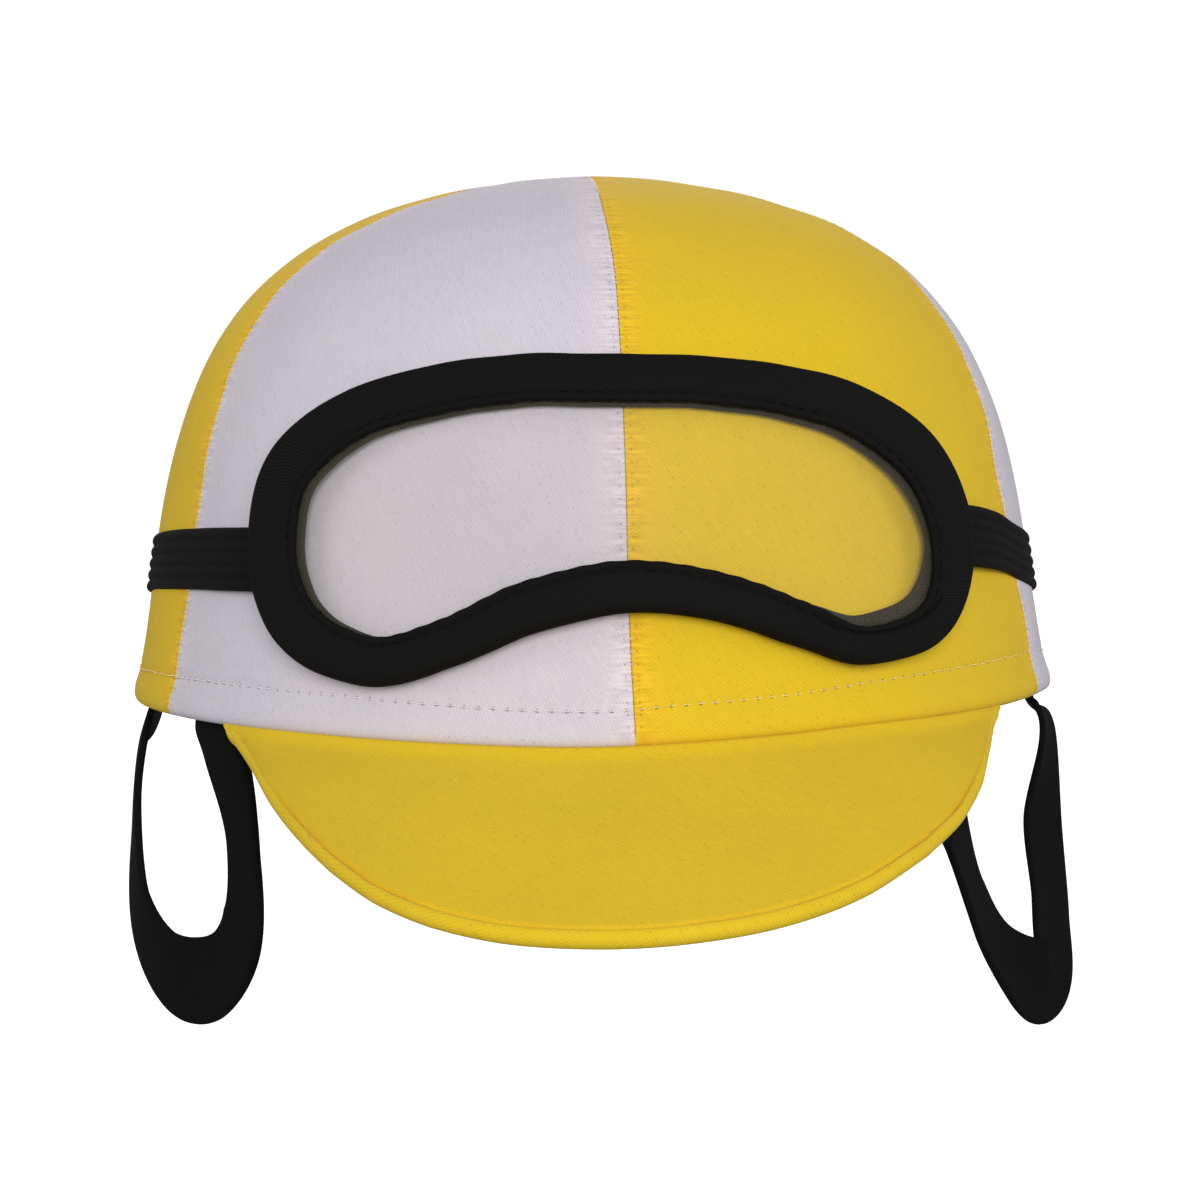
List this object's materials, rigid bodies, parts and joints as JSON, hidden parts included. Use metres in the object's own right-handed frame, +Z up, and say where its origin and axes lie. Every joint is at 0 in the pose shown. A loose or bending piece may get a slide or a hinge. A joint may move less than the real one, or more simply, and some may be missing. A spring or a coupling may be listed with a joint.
{
  "type": "jockey cap with mock goggles and chin loops",
  "caption": "Cloth jockey cap of alternating white and yellow gores with a covered peak, mock goggles with a clear film on an elastic strap, and a black tape loop hanging at each side.",
  "frame": {"origin": "middle of the head opening, in the plane of the hem, where the head holds the cap", "axes": "+Z up through the top of the crown, -Y forward over the peak, +X to the right of someone who faces the cap"},
  "size_m": [0.1739, 0.2561, 0.1541],
  "materials": {
    "white_cloth": "fine woven cloth, cool lilac white, topstitched hem",
    "yellow_cloth": "fine woven cloth, warm golden yellow, matt",
    "binding_tape": "black bias tape with a fine twill, folded and stitched",
    "strap_elastic": "black ribbed elastic",
    "loop_tape": "matt black tape",
    "clear_film": "clear flexible film, slightly hazy"
  },
  "bodies": {
    "root": {"gore_front_left": "white_cloth", "gore_front_right": "yellow_cloth", "gore_side_right": "white_cloth", "gore_back_right": "yellow_cloth", "gore_back_left": "white_cloth", "gore_side_left": "yellow_cloth", "peak": "yellow_cloth", "goggle_binding": "binding_tape", "goggle_lens": "clear_film", "goggle_strap": "strap_elastic", "chin_loop_left": "loop_tape", "chin_loop_right": "loop_tape"}
  },
  "joints": []
}
